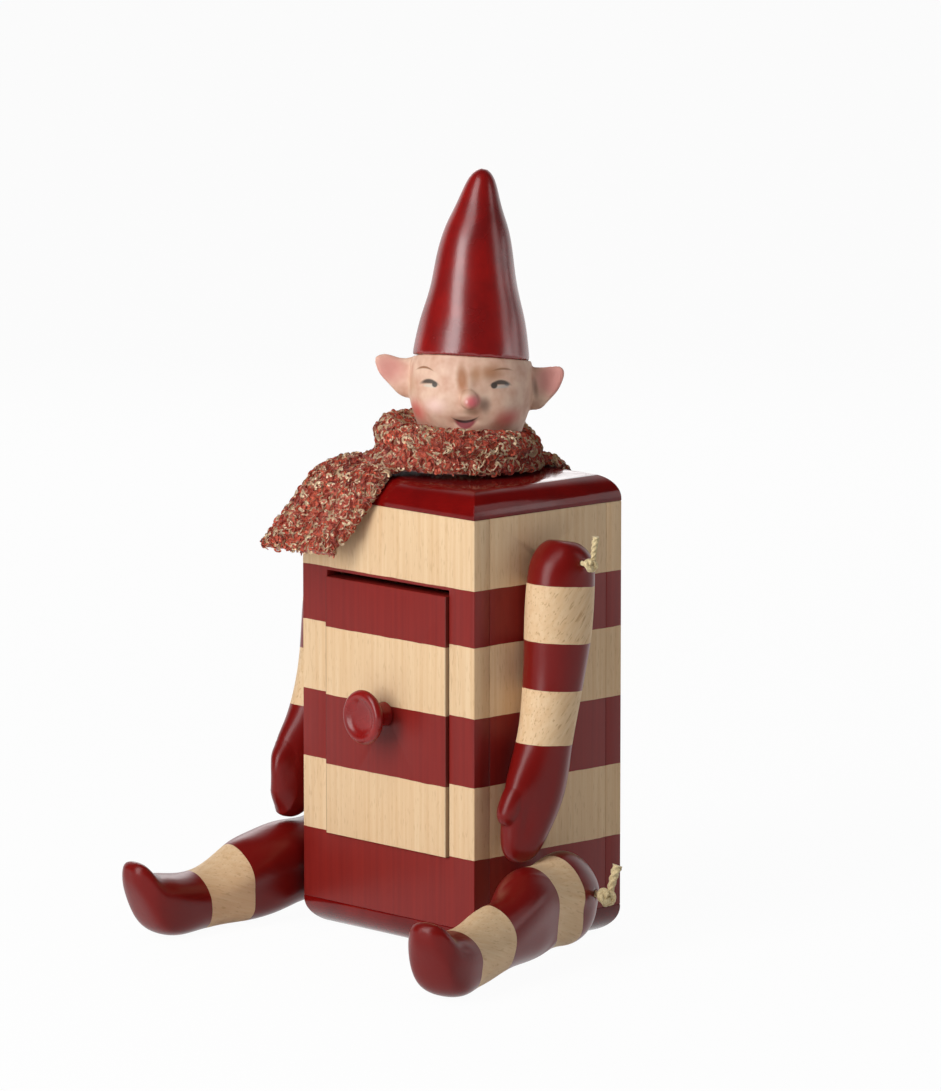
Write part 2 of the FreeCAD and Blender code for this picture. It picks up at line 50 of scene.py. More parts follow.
# %% [markdown]
# ## Camera
# The picture was taken with a long lens from the front right, a little above the toy. A long
# lens keeps the box's edges almost parallel. The camera is set by its place and its two
# angles, so that the same numbers can be read off a tripod.

# %% Camera
CAMERA_PLACE = (2040.96, -1905.70, 591.97)
CAMERA_AZIMUTH = 46.89
CAMERA_ELEVATION = 8.91
LENS = 234.76
SENSOR = 36.0
FAR_CLIP = 50.0

camera_data = bpy.data.cameras.new("camera")
camera_data.sensor_fit = "VERTICAL"
camera_data.sensor_height = SENSOR
camera_data.lens = LENS
camera_data.clip_end = FAR_CLIP
camera = bpy.data.objects.new("camera", camera_data)
camera.location = Vector(CAMERA_PLACE) * MM
camera.rotation_euler = (
    math.radians(90.0 - CAMERA_ELEVATION),
    0.0,
    math.radians(CAMERA_AZIMUTH),
)
bpy.context.collection.objects.link(camera)
bpy.context.scene.camera = camera
bpy.context.scene.view_settings.view_transform = "Standard"
print("camera at", [round(v, 3) for v in camera.location])

# %% [markdown]
# ## Colours and nodes
# Paint charts give colours as sRGB hex codes, while shaders mix light in linear numbers, so
# one function turns the one into the other. A second one adds a node with its settings and
# links. Pattern sizes are thought of in millimetres, and object space is in metres. Short
# functions hold what every finish needs: noise, two tones, one colour over another, relief.


# %% Helpers for finishes
def linear(code):
    """Turns an sRGB hex colour into the linear colour that shaders use."""
    parts = [int(code[i : i + 2], 16) / 255.0 for i in (0, 2, 4)]
    parts = [p / 12.92 if p <= 0.04045 else ((p + 0.055) / 1.055) ** 2.4 for p in parts]
    return (*parts, 1.0)


def set_inputs(tree, node, inputs):
    """Sets a node's sockets: another node's socket is linked, anything else is a value."""
    for key, value in inputs.items():
        if isinstance(value, bpy.types.NodeSocket):
            tree.links.new(value, node.inputs[key])
        else:
            node.inputs[key].default_value = value


def add_node(tree, kind, inputs=None, stops=None, **settings):
    """Adds one node; inputs are socket values or links, stops are a colour ramp's."""
    node = tree.nodes.new("ShaderNode" + kind)
    for name, value in settings.items():
        setattr(node, name, value)
    set_inputs(tree, node, inputs or {})
    if stops:
        ramp = node.color_ramp
        ramp.interpolation = "CONSTANT" if len(stops) > 2 else "LINEAR"
        while len(ramp.elements) < len(stops):
            ramp.elements.new(1.0)
        for element, (place, colour) in zip(ramp.elements, stops):
            element.position = place
            element.color = colour
    return node


def per_mm(size):
    """The texture scale that gives a pattern this size in millimetres."""
    return 1.0 / (size * MM)


def new_finish(name):
    """An empty material with its shader, its output and its object coordinates."""
    material = bpy.data.materials.new(name)
    material.use_nodes = True
    tree = material.node_tree
    tree.nodes.clear()
    shader = add_node(tree, "BsdfPrincipled")
    add_node(tree, "OutputMaterial", {"Surface": shader.outputs[0]})
    place = add_node(tree, "TexCoord").outputs["Object"]
    return material, tree, shader, place


def grain_noise(tree, place, size, detail=2.0):
    """Noise whose grain has this size in millimetres."""
    inputs = {"Vector": place, "Scale": per_mm(size), "Detail": detail}
    return add_node(tree, "TexNoise", inputs).outputs["Fac"]


def two_tones(tree, share, low, high):
    """A colour between two stops, each a place from 0 to 1 and a hex code."""
    stops = [(place, linear(code)) for place, code in (low, high)]
    return add_node(tree, "ValToRGB", {"Fac": share}, stops=stops).outputs["Color"]


def laid_over(tree, share, under, top):
    """One colour laid over another by a share."""
    inputs = {0: share, 6: under, 7: top}
    return add_node(tree, "Mix", inputs, data_type="RGBA").outputs[2]


def worked_out(tree, operation, *values):
    """The result of one Math node."""
    return add_node(tree, "Math", dict(enumerate(values)), operation=operation).outputs[0]


def relief(tree, shader, height, depth, strength):
    """Raises a shader's surface by a height, with a depth in millimetres."""
    inputs = {"Height": height, "Distance": depth * MM, "Strength": strength}
    set_inputs(tree, shader, {"Normal": add_node(tree, "Bump", inputs).outputs[0]})


BLACK = (0.0, 0.0, 0.0, 1.0)
WHITE = (1.0, 1.0, 1.0, 1.0)
PAINT_RED = "821E18"
print("red paint in linear light:", [round(v, 3) for v in linear(PAINT_RED)])

# %% [markdown]
# ## Beech
# Beech is pale, even and fine. What gives it away is the ray fleck: short brown dashes that
# lie along the grain. Two stretched noises draw it, a faint one for the long streaks and a
# clipped one for the flecks. A photographed board would repeat, and noise never does.

# %% Beech grain
STREAK_WIDTH = 1.8
STREAK_SHARE = 0.025
FLECK_WIDTH = 0.75
FLECK_SHARE = 0.16
FLECK_BROWN = "B0855A"


def beech(tree, grain, fleck):
    """Beech colour for coordinates whose Z runs along the grain; fleck is 0 to 1."""
    along = add_node(tree, "Mapping", {"Vector": grain, "Scale": (1, 1, STREAK_SHARE)})
    streak = grain_noise(tree, along.outputs[0], STREAK_WIDTH, 4.0)
    pale = two_tones(tree, streak, (0.30, "E3C59E"), (0.75, "D8B388"))
    dash = add_node(tree, "Mapping", {"Vector": grain, "Scale": (1, 1, FLECK_SHARE)})
    rays = grain_noise(tree, dash.outputs[0], FLECK_WIDTH, 1.0)
    shown = add_node(
        tree, "MapRange", {"Value": rays, "From Min": 0.60, "From Max": 0.72, "To Max": fleck}
    )
    return laid_over(tree, shown.outputs[0], pale, linear(FLECK_BROWN)), streak


PAINT_WAVER = 0.7
WAVER_LENGTH = 9.0


def painted_bands(tree, distance, edges, length, wobble):
    """1 where paint lies: bands that switch at edges along a distance, from paint at 0."""
    noisy = grain_noise(tree, wobble, WAVER_LENGTH)
    shifted = worked_out(tree, "MULTIPLY_ADD", noisy, PAINT_WAVER / length, distance)
    shift = PAINT_WAVER / 2 / length
    stops = [(0.0, WHITE)]
    for number, edge in enumerate(edges):
        stops.append((edge / length + shift, BLACK if number % 2 == 0 else WHITE))
    bands = add_node(tree, "ValToRGB", {"Fac": shifted}, stops=stops)
    return bands.outputs["Color"]


print("beech streaks", STREAK_WIDTH, "mm, flecks", FLECK_WIDTH, "mm")

# %% [markdown]
# ## Painted stripes on the box
# The boards were brushed with thin red paint between masked lines. The wood's grain stands
# through it as faint vertical lines, and it is duller than the lacquer on the round pieces.
# The drawer front was striped by itself, so its lines sit a millimetre lower. Its side edges
# get painted shade, because the gaps beside them look dark. The brush reached only the
# outside, so the inner faces stay bare.
# A ramp over the height sets the masks, and the same ramp drives gloss and paint film.

# %% Painted stripe finish
BOX_HEIGHT = 184.5
STRIPE_EDGES = (38.9, 67.5, 95.1, 123.0, 145.4, 173.7)
PAINT_DEEP = "761915"
PAINT_FILM = 0.06
FILM_SHARE = 0.6
GAP_SHADE_REACH = 0.7
GAP_SHADE_FULL = 0.1
GAP_SHADE_STRENGTH = 0.55
GAP_SHADE_BROWN = "3A1C12"
BRUSH_REACH = (45.0, 32.6)
DRAWER_HALF = 35.1
DRAWER_DROP = 0.9
BOARD_FLECK = 0.28
BARE_ROUGHNESS = 0.58
BRUSHED_ROUGHNESS = 0.44


def striped_beech(name, drop, half_width=None):
    """Brushed stripes, lowered by drop; painted shade darkens the edges at half_width; all in
    mm.
    """
    material, tree, shader, place = new_finish(name)
    wood, height = beech(tree, place, BOARD_FLECK)
    parts = add_node(tree, "SeparateXYZ", {0: place})
    share = add_node(
        tree, "MapRange", {"Value": parts.outputs["Z"], "From Max": BOX_HEIGHT * MM}
    )
    edges = [edge - drop for edge in STRIPE_EDGES]
    bands = painted_bands(tree, share.outputs[0], edges, BOX_HEIGHT, place)
    aside = [worked_out(tree, "ABSOLUTE", parts.outputs[axis]) for axis in "XY"]
    reached = [
        worked_out(tree, "GREATER_THAN", away, depth * MM)
        for away, depth in zip(aside, BRUSH_REACH)
    ]
    paint = worked_out(tree, "MULTIPLY", bands, worked_out(tree, "MAXIMUM", *reached))
    thin = two_tones(tree, height, (0.35, PAINT_RED), (0.75, PAINT_DEEP))
    colour = laid_over(tree, paint, wood, thin)
    # Painted shade: the drawer front's side edges are darkened where the gaps beside them look
    # dark.
    if half_width:
        end = add_node(
            tree,
            "MapRange",
            {
                "Value": aside[0],
                "From Min": (half_width - GAP_SHADE_REACH) * MM,
                "From Max": (half_width - GAP_SHADE_FULL) * MM,
                "To Max": GAP_SHADE_STRENGTH,
            },
        )
        colour = laid_over(tree, end.outputs[0], colour, linear(GAP_SHADE_BROWN))
    gloss = add_node(
        tree,
        "MapRange",
        {"Value": paint, "To Min": BARE_ROUGHNESS, "To Max": BRUSHED_ROUGHNESS},
    )
    film = worked_out(tree, "MULTIPLY_ADD", paint, FILM_SHARE, height)
    relief(tree, shader, film, PAINT_FILM, 0.6)
    inputs = {"Base Color": colour, "Roughness": gloss.outputs[0]}
    set_inputs(tree, shader, inputs | {"IOR": 1.48, "Specular IOR Level": 0.31})
    return material


board_finish = striped_beech("brushed_stripes_on_beech", 0.0)
drawer_finish = striped_beech("brushed_stripes_on_drawer", DRAWER_DROP, DRAWER_HALF)
print("stripes switch at", STRIPE_EDGES, "mm")

# %% [markdown]
# ## Lacquer, bare beech and steel
# Hat, cap, base and knob were dipped in red lacquer, which levels to a gloss and still
# follows small dents. Cloudy noise lets the red run deeper where the film is thick, and a
# finer one gives it the faint skin of orange peel. The drawer's inside is left as planed
# beech, and the hidden screws are zinc plated, with a fine dull crystal.

# %% Lacquer, bare wood and zinc
LACQUER_CLOUD = 14.0
LACQUER_PEEL = 2.4
PEEL_DEPTH = 0.10
WORN_SMOOTH, WORN_DULL = 0.05, 0.07
PLANED_FLECK = 0.5
ZINC_CRYSTAL = 0.35


def lacquer(name, colour, deep, roughness, mirror):
    """Dipped red lacquer: glossy and softly uneven; mirror is how strongly it reflects."""
    material, tree, shader, place = new_finish(name)
    cloud = grain_noise(tree, place, LACQUER_CLOUD, 3.0)
    tone = two_tones(tree, cloud, (0.35, colour), (0.70, deep))
    least, most = roughness - WORN_SMOOTH, roughness + WORN_DULL
    worn = add_node(tree, "MapRange", {"Value": cloud, "To Min": least, "To Max": most})
    relief(tree, shader, grain_noise(tree, place, LACQUER_PEEL), PEEL_DEPTH, 0.35)
    inputs = {"Base Color": tone, "Roughness": worn.outputs[0]}
    set_inputs(tree, shader, inputs | {"IOR": 1.50, "Specular IOR Level": mirror})
    return material


def planed_beech(name):
    """Bare planed beech, with the grain across the box along X."""
    material, tree, shader, place = new_finish(name)
    across = {"Vector": place, "Rotation": (0.0, math.radians(90.0), 0.0)}
    grain = add_node(tree, "Mapping", across)
    wood, height = beech(tree, grain.outputs[0], PLANED_FLECK)
    relief(tree, shader, height, 0.08, 0.5)
    set_inputs(tree, shader, {"Base Color": wood, "Roughness": 0.62})
    return material


def zinc_plate(name):
    """Zinc plated steel: a dull silver crystal about a third of a millimetre across."""
    material, tree, shader, place = new_finish(name)
    crystal = add_node(tree, "TexVoronoi", {"Vector": place, "Scale": per_mm(ZINC_CRYSTAL)})
    tone = two_tones(tree, crystal.outputs["Distance"], (0.0, "C9CCCF"), (0.8, "A9ADB2"))
    set_inputs(tree, shader, {"Base Color": tone, "Metallic": 1.0, "Roughness": 0.42})
    return material


cap_finish = lacquer("red_lacquer_on_cap", "770B09", "640707", 0.13, 0.24)
hat_finish = lacquer("red_lacquer_on_hat", "8F0D0A", "710505", 0.25, 0.75)
wood_finish = planed_beech("planed_beech")
zinc_finish = zinc_plate("zinc_plated_steel")
for name in ("neck_screw", "knob_screw", "neck_washer"):
    nodes[name].data.materials[0] = zinc_finish
nodes["neck_dowel"].data.materials[0] = wood_finish
print("finishes:", [m.name for m in bpy.data.materials][-5:])

# %% [markdown]
# ## From a bmesh to a piece
# Every piece goes through the same last steps: mesh, object, material, smooth faces with
# sharp edges kept, and a body to ride on. One function does them so that none is forgotten.

# %% Finishing a piece
TOUCHING = 0.002


def finish_piece(bm, name, body, material, replaced=(), sharp=40.0):
    """Makes an object of a bmesh, shades it, and sets it on its body."""
    mesh = bpy.data.meshes.new(name)
    bm.to_mesh(mesh)
    bm.free()
    mesh.materials.append(material)
    mesh.shade_smooth()
    mesh.set_sharp_from_angle(angle=math.radians(sharp))
    piece = bpy.data.objects.new(name, mesh)
    bpy.context.collection.objects.link(piece)
    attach(piece, body)
    if replaced:
        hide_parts(*replaced)
    print(name, "rides on", body, "with", len(mesh.polygons), "faces")
    return piece


def merged_copy(node):
    """A copy of a CAD node's mesh with its loose triangles joined."""
    bm = bmesh.new()
    bm.from_mesh(nodes[node].data)
    bmesh.ops.remove_doubles(bm, verts=bm.verts, dist=TOUCHING * MM)
    return bm


print("points closer than", TOUCHING, "mm are joined")

# %% [markdown]
# ## Boards with eased edges
# No sawn board has a knife edge: the maker takes it off with sandpaper. A copy of each board
# gets its flat triangles dissolved into whole faces, and then a narrow bevel on every sharp
# edge. The small round catches light, and where two boards meet it draws the fine dark seam.

# %% Boards
FLAT_ANGLE = 0.5
SHARP_ANGLE = 30.0


def eased(node, width):
    """A board's copy with its sharp edges rounded by a width in millimetres."""
    bm = merged_copy(node)
    flat = math.radians(FLAT_ANGLE)
    bmesh.ops.dissolve_limit(bm, angle_limit=flat, verts=bm.verts, edges=bm.edges)
    sharp = [e for e in bm.edges if e.calc_face_angle(0.0) > math.radians(SHARP_ANGLE)]
    bmesh.ops.bevel(
        bm,
        geom=sharp,
        offset=width * MM,
        affect="EDGES",
        segments=3,
        profile=0.5,
        material=-1,
        clamp_overlap=True,
    )
    return bm


BOARDS = (
    ("front_board", "box", "striped_beech", board_finish, 0.35),
    ("back_board", "box", "striped_beech", board_finish, 0.35),
    ("left_side_board", "box", "striped_beech", board_finish, 0.3),
    ("right_side_board", "box", "striped_beech", board_finish, 0.3),
    ("drawer_front", "drawer", "striped_beech", drawer_finish, 0.5),
    ("top_board", "box", "red_lacquer", cap_finish, 0.25),
    ("bottom_board", "box", "red_lacquer", cap_finish, 0.25),
    ("drawer_shelf", "box", "bare_beech", wood_finish, 0.3),
    ("left_runner", "box", "bare_beech", wood_finish, 0.3),
    ("right_runner", "box", "bare_beech", wood_finish, 0.3),
    ("drawer_left_side", "drawer", "bare_beech", wood_finish, 0.4),
    ("drawer_right_side", "drawer", "bare_beech", wood_finish, 0.4),
    ("drawer_back", "drawer", "bare_beech", wood_finish, 0.4),
    ("drawer_bottom", "drawer", "bare_beech", wood_finish, 0.3),
)
for node, body, slot, material, width in BOARDS:
    finish_piece(eased(node, width), node + "_eased", body, material, (node,))

# %% [markdown]
# ## The drawer knob
# The knob was turned on a lathe: a waisted stem, a broad head, a raised rim and a shallow
# dish. Turning is what spin does, so half an outline of a few points goes once round the
# axis, and a subdivision rounds its corners as the lacquer does.

# %% Knob
KNOB_HEIGHT = 91.45
DRAWER_FACE = -41.3
KNOB_STEPS = 48
KNOB_OUTLINE = (
    (0.0, -0.2),
    (5.4, -0.2),
    (4.6, 1.4),
    (4.3, 4.6),
    (5.0, 7.6),
    (8.6, 9.3),
    (10.8, 10.6),
    (11.0, 12.0),
    (10.1, 13.5),
    (8.6, 13.9),
    (7.1, 13.3),
    (6.0, 12.4),
    (0.0, 12.2),
)

bm = bmesh.new()
outline = [
    bm.verts.new((radius * MM, (DRAWER_FACE - out) * MM, KNOB_HEIGHT * MM))
    for radius, out in KNOB_OUTLINE
]
edges = [bm.edges.new(pair) for pair in zip(outline, outline[1:])]
bmesh.ops.spin(
    bm,
    geom=outline + edges,
    cent=(0.0, 0.0, KNOB_HEIGHT * MM),
    axis=(0.0, 1.0, 0.0),
    angle=math.tau,
    steps=KNOB_STEPS,
    use_merge=True,
)
bmesh.ops.remove_doubles(bm, verts=bm.verts, dist=0.01 * MM)
bmesh.ops.recalc_face_normals(bm, faces=bm.faces)
knob_finish = lacquer("red_lacquer_on_knob", "8E1512", "780C0C", 0.26, 0.45)
knob = finish_piece(
    bm, "turned_knob", "drawer", knob_finish, ("drawer_knob",), 180.0
)
rounder = knob.modifiers.new("lathe rounding", "SUBSURF")
rounder.levels = rounder.render_levels = 2

# %% [markdown]
# ## Carving blanks
# Head, hat and limbs start as turned and carved blanks. The CAD solids hold their forms, but
# their triangles are long and uneven, and can't be carved. A voxel remesh gives a copy small
# even faces, like fine clay. A list of soft marks then pushes the skin in or out, each one
# an oval hollow or a swelling, and a sanding pass rounds a single spot.

# %% Carving helpers
MARK_END = 9.0


def even_copy(node, voxel, rounds):
    """A CAD solid's copy in small even faces, sanded smooth a few rounds."""
    bm = merged_copy(node)
    mesh = bpy.data.meshes.new("blank")
    bm.to_mesh(mesh)
    bm.free()
    blank = bpy.data.objects.new("blank", mesh)
    bpy.context.collection.objects.link(blank)
    remesh = blank.modifiers.new("even faces", "REMESH")
    remesh.mode = "VOXEL"
    remesh.voxel_size = voxel * MM
    sanding = blank.modifiers.new("sanding", "SMOOTH")
    sanding.factor = 0.5
    sanding.iterations = rounds
    view = bpy.context.evaluated_depsgraph_get()
    even = bpy.data.meshes.new_from_object(blank.evaluated_get(view))
    bm = bmesh.new()
    bm.from_mesh(even)
    bpy.data.objects.remove(blank)
    for used in (mesh, even):
        bpy.data.meshes.remove(used)
    return bm


def carve(bm, into, marks):
    """Pushes the skin: a mark has a centre, radii, and a depth or a way to drag, in mm."""
    bm.normal_update()
    back = into.to_3x3().inverted()
    moves = []
    for vert in bm.verts:
        spot = into @ vert.co / MM
        move = Vector()
        for centre, radii, push in marks:
            away = sum(((s - c) / r) ** 2 for s, c, r in zip(spot, centre, radii))
            if away < MARK_END:
                way = vert.normal * push if isinstance(push, float) else back @ Vector(push)
                move += way * math.exp(-away) * MM
        moves.append(move)
    for vert, move in zip(bm.verts, moves):
        vert.co += move


def dent(bm, size, depth, stretch, seed):
    """Knocks a blank slightly uneven, as hand sanding leaves it."""
    bm.normal_update()
    for vert in bm.verts:
        spot = vert.co * per_mm(size)
        spot.z *= stretch
        vert.co += vert.normal * depth * MM * noise.noise(spot + Vector((seed, seed, 0)))


def sand(bm, into, centre, radii, rounds):
    """Sands one spot round: a centre and radii in mm, and how often it is gone over."""
    near = []
    for vert in bm.verts:
        spot = into @ vert.co / MM
        if sum(((s - c) / r) ** 2 for s, c, r in zip(spot, centre, radii)) < 1.0:
            near.append(vert)
    for _ in range(rounds):
        bmesh.ops.smooth_vert(
            bm, verts=near, factor=0.5, use_axis_x=True, use_axis_y=True, use_axis_z=True
        )


print("marks fade out at", math.sqrt(MARK_END), "radii")

# %% [markdown]
# ## The limbs' finish
# Arms and legs were dipped in stages, so that bare bands of beech stay between the red ones.
# The grain runs slantwise through the turned limbs. Distance along the limb sets the bands,
# and a Mapping node turns the coordinates so that they follow each limb's own lean.

# %% Banded limb finish
DIPPED_RED = "72100D"
SANDED_ROUGHNESS = 0.55
DIPPED_ROUGHNESS = 0.29
DIP_FILM = 0.09
DIP_SHARE = 0.8


def tilted(tree, place, degrees):
    """Coordinates turned about X."""
    inputs = {"Vector": place, "Rotation": (math.radians(degrees), 0.0, 0.0)}
    return add_node(tree, "Mapping", inputs).outputs[0]


def banded_limb(name, pivot, turn, tip, edges, length, start, grain_turn, fleck):
    """Dipped bands on beech along Z after the turn; tip is how far the dip leaned."""
    material, tree, shader, place = new_finish(name)
    matrix = turn.to_matrix()
    shift = -(matrix @ (Vector(pivot) * MM))
    inputs = {"Vector": place, "Location": shift, "Rotation": tuple(turn)}
    along = add_node(tree, "Mapping", inputs).outputs[0]
    wood, height = beech(tree, tilted(tree, along, grain_turn), fleck)
    parts = add_node(tree, "SeparateXYZ", {0: tilted(tree, along, tip)})
    share = add_node(
        tree,
        "MapRange",
        {
            "Value": parts.outputs["Z"],
            "From Min": start * MM,
            "From Max": (start - length) * MM,
        },
    )
    paint = painted_bands(tree, share.outputs[0], edges, length, place)
    gloss = add_node(
        tree,
        "MapRange",
        {"Value": paint, "To Min": SANDED_ROUGHNESS, "To Max": DIPPED_ROUGHNESS},
    )
    film = worked_out(tree, "MULTIPLY_ADD", paint, DIP_SHARE, height)
    relief(tree, shader, film, DIP_FILM, 0.6)
    colour = laid_over(tree, paint, wood, linear(DIPPED_RED))
    inputs = {"Base Color": colour, "Roughness": gloss.outputs[0]}
    set_inputs(tree, shader, inputs | {"IOR": 1.50, "Specular IOR Level": 0.25})
    return material, Matrix.Translation(shift) @ matrix.to_4x4()


print("limb bands follow each limb's lean")

# %% [markdown]
# ## Arms
# Each arm is one carved stick that ends in a mitten with a thumb. The copy keeps the CAD
# form, and marks cut the crease beside the thumb and the hollow of the palm. The left mitten
# is rounder: it is sanded in front of the thumb, filled out and sanded again.

# %% Arms
SHOULDER = (-6.0, 156.5)
ARM_SPAN = 63.8
ARM_BANDS = {"left": (17.4, 39.9, 58.8, 81.5), "right": (17.2, 39.5, 58.2, 79.7)}
ARM_TIP = -6.0
ARM_LENGTH = 130.0
ARM_START = 8.0
ARM_GRAIN = 30.0
ARM_FLECK = 0.62
ARM_LEAN = {"left": 14.02, "right": 10.93}
ARM_MARKS = (
    ((0.0, -12.0, 5.0), (16.0, 7.0, 8.0), (0.0, 2.6, -0.8)),
    ((2.0, -11.0, -91.0), (6.0, 6.0, 9.0), 1.3),
    ((-1.0, -14.0, -104.0), (6.0, 6.0, 7.0), 1.2),
    ((8.0, -8.0, -103.0), (2.2, 5.0, 10.0), -1.7),
    ((6.5, -9.0, -116.0), (2.0, 5.0, 9.0), -1.0),
)
HAND_FILLS = (
    ((0.0, -13.0, -107.0), (11.0, 9.0, 13.0), (0.0, -2.2, 0.0)),
    ((0.0, -6.0, -126.0), (14.0, 14.0, 9.0), (0.0, 0.0, -1.8)),
)
HAND_SANDINGS = (
    ((0.0, -14.0, -110.0), (14.0, 11.0, 13.0), 150),
    ((0.0, -16.0, -101.0), (14.0, 10.0, 11.0), 40),
)
ARM_VOXEL = 0.6
ARM_DENTS = (14.0, 0.35, 0.6)
ARM_SEED = 3.0
LIMB_SANDING = 4
THUMB_DRAGS = {
    "left": [
        ((-2.0, -15.0, -104.0), (9.0, 8.0, 9.0), (2.0, -1.2, 0.0)),
        ((0.0, -12.0, -110.0), (9.0, 7.0, 6.0), (0.0, -2.0, 0.0)),
    ],
    "right": [],
}
for side, sign in (("left", -1.0), ("right", 1.0)):
    node = "arm_" + side
    finish, into = banded_limb(
        "dipped_bands_on_" + node,
        (sign * ARM_SPAN, *SHOULDER),
        Euler((math.radians(ARM_LEAN[side]), 0.0, 0.0)),
        ARM_TIP,
        ARM_BANDS[side],
        ARM_LENGTH,
        ARM_START,
        ARM_GRAIN,
        ARM_FLECK,
    )
    bm = even_copy(node, ARM_VOXEL, LIMB_SANDING)
    marks = [((sign * x, y, z), radii, push) for (x, y, z), radii, push in ARM_MARKS]
    carve(bm, into, marks + THUMB_DRAGS[side])
    if side == "left":
        sand(bm, into, *HAND_SANDINGS[0])
        carve(bm, into, HAND_FILLS)
        sand(bm, into, *HAND_SANDINGS[1])
    dent(bm, *ARM_DENTS, ARM_SEED + sign)
    finish_piece(bm, node + "_carved", side + "_arm", finish, (node,))

# %% [markdown]
# ## Legs
# The legs lie flat and end in shoes with turned-up toes. They get the same finish, with the
# bands running out from the hip. Marks shape knee, waist and shoe, and the right leg's side is
# sanded after them.

# %% Legs
HIP = (-1.0, 25.0)
LEG_TIP = -10.0
LEG_LENGTH = 140.0
LEG_START = 14.0
LEG_GRAIN = 20.0
LEG_FLECK = 0.38
LEG_MARKS = {
    "left": (
        ((0.0, -16.0, -50.0), (18.0, 10.0, 15.0), (0.0, 3.2, 0.0)),
        ((0.0, -16.0, -12.0), (18.0, 9.0, 11.0), (0.0, -1.6, 0.0)),
        ((0.0, 2.0, -109.0), (14.0, 7.0, 6.0), (0.0, 1.3, 0.0)),
    ),
    "right": (
        ((-4.0, -14.0, -55.0), (16.0, 10.0, 12.0), (0.0, 4.2, 0.0)),
        ((-12.0, -6.0, -56.0), (11.0, 11.0, 13.0), (3.8, 3.4, 0.0)),
        ((0.0, -16.0, -12.0), (18.0, 9.0, 11.0), (0.0, -1.6, 0.0)),
        ((0.0, -5.0, -82.0), (16.0, 7.0, 11.0), (0.0, -2.4, 0.0)),
        ((6.0, 20.0, -56.0), (18.0, 10.0, 13.0), (0.0, -3.0, 0.0)),
        ((-7.0, 18.0, -122.0), (8.0, 9.0, 10.0), (-1.8, 0.0, 0.0)),
        ((7.0, 20.0, -112.0), (8.0, 8.0, 9.0), (-1.4, -0.8, 0.0)),
    ),
}
LEG_SANDING = ((11.0, 3.0, -50.0), (18.0, 19.0, 24.0), 110)
LEG_VOXEL = 0.7
LEG_DENTS = (16.0, 0.35, 1.0)
LEG_SEED = 7.0
LEG_PLACE = {"left": (-63.64, 1.5), "right": (65.06, 17.0)}
LEG_BANDS = {"left": (14.0, 33.0, 76.0, 98.0), "right": (26.5, 45.5, 79.0, 105.5)}
for side, sign in (("left", -1.0), ("right", 1.0)):
    node = "leg_" + side
    across, splay = LEG_PLACE[side]
    turn = (
        Matrix.Rotation(math.radians(90.0), 3, "X")
        @ Matrix.Rotation(math.radians(-sign * splay), 3, "Z")
    )
    finish, into = banded_limb(
        "dipped_bands_on_" + node,
        (across, *HIP),
        turn.to_euler(),
        LEG_TIP,
        LEG_BANDS[side],
        LEG_LENGTH,
        LEG_START,
        LEG_GRAIN,
        LEG_FLECK,
    )
    bm = even_copy(node, LEG_VOXEL, LIMB_SANDING)
    carve(bm, into, LEG_MARKS[side])
    if side == "right":
        sand(bm, into, *LEG_SANDING)
    dent(bm, *LEG_DENTS, LEG_SEED + sign)
    finish_piece(bm, node + "_carved", side + "_leg", finish, (node,))

# %% [markdown]
# ## Head
# The head was turned as a ball with ears and nose glued on, and then painted. A remesh
# joins ears and nose to the ball in one skin, as filler does. Marks press the eye sockets,
# round the cheeks and cut the smile.

# %% Marks on the head
NECK = Vector((0.0, 5.0, 0.0)) * MM
FACE_TURN = Matrix.Rotation(math.radians(-CAMERA_AZIMUTH), 4, "Z")
into_face = FACE_TURN @ Matrix.Translation(-NECK)
FACE_MARKS = (
    ((-15.5, -19.0, 221.0), (6.0, 9.0, 4.2), -1.3),
    ((11.5, -20.0, 221.0), (6.0, 9.0, 4.2), -1.3),
    ((-16.3, -19.0, 220.6), (3.4, 6.0, 2.0), 1.0),
    ((11.6, -21.0, 220.6), (3.4, 6.0, 2.0), 1.0),
    ((-1.6, -24.0, 220.5), (2.6, 6.0, 5.5), 1.3),
    ((0.0, -26.0, 214.6), (3.8, 7.0, 3.4), 1.7),
    ((-14.5, -18.0, 211.0), (7.0, 9.0, 5.5), 1.1),
    ((12.0, -19.0, 210.5), (7.0, 9.0, 5.5), 1.1),
    ((-2.2, -23.0, 206.4), (4.8, 6.0, 1.5), -1.5),
    ((-2.2, -23.0, 203.0), (4.6, 6.0, 1.4), 0.7),
    ((-30.0, -5.0, 224.0), (4.6, 5.0, 5.0), -2.4),
    ((30.0, -5.0, 220.5), (4.6, 5.0, 5.0), -2.4),
    ((-37.0, -2.0, 228.5), (7.0, 9.0, 7.0), (-1.8, 0.0, 0.3)),
    ((-27.0, -2.0, 231.0), (4.5, 9.0, 4.0), (0.0, 0.0, -2.0)),
    ((-29.0, -2.0, 218.5), (6.0, 9.0, 5.5), (1.0, 0.0, -1.6)),
    ((-37.5, -2.0, 222.0), (4.5, 9.0, 4.0), (-1.7, 0.0, -0.9)),
    ((36.0, -2.0, 224.0), (7.0, 9.0, 7.0), (1.0, 0.0, 2.0)),
    ((29.0, -2.0, 214.5), (6.0, 9.0, 5.5), (0.4, 0.0, -2.6)),
    ((34.0, -2.0, 211.0), (5.0, 9.0, 4.0), (-1.8, 0.0, 1.3)),
    ((41.0, -2.0, 222.0), (5.0, 9.0, 6.0), (-1.9, 0.0, 0.0)),
)
print("the face is carved with", len(FACE_MARKS), "marks")

# %% [markdown]
# ## The painted face
# The skin is matte peach paint, and the face is brushed on top: cheeks, brows, lids, eyes and
# mouth. Each stroke is an oval in the face's own coordinates, where X runs across and Z up.
# A stroke may be bent into an arc. Soft strokes are rubbed in, hard ones are drawn with a
# fine brush.

# %% Face brush
FACE_RADIUS = 24.0
LEAST_DEPTH = 6.0
STROKE_DEPTH = 12.0


